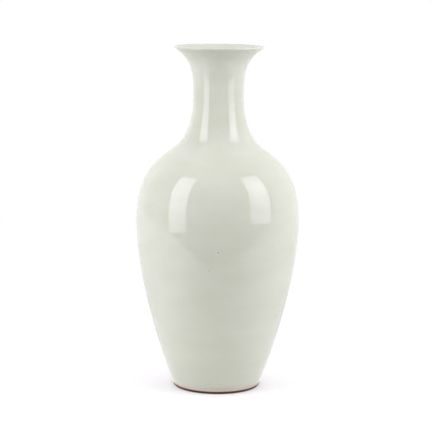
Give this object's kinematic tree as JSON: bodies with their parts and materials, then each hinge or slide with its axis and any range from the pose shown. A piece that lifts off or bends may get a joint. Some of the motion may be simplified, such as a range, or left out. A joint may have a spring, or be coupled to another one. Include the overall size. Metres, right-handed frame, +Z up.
{
  "type": "celadon vase",
  "caption": "Baluster vase with a trumpet mouth, slender neck, high round shoulder and turned foot, in celadon glazed stoneware.",
  "frame": {"origin": "centre of the foot, on the surface that the vase stands on", "axes": "+Z up along the vase's axis, +X to the right and -Y towards the viewer in the picture"},
  "size_m": [0.2, 0.2, 0.42],
  "materials": {
    "stoneware": "matte",
    "slip": "matte",
    "celadon_glaze": "gloss"
  },
  "bodies": {
    "root": {"lower_body": "stoneware", "upper_body": "stoneware", "neck_section": "stoneware", "base_disc": "stoneware", "base_lute": "slip", "belly_lute": "slip", "neck_lute": "slip", "outer_glaze": "celadon_glaze", "inner_glaze": "celadon_glaze", "foot_glaze": "celadon_glaze"}
  },
  "joints": []
}
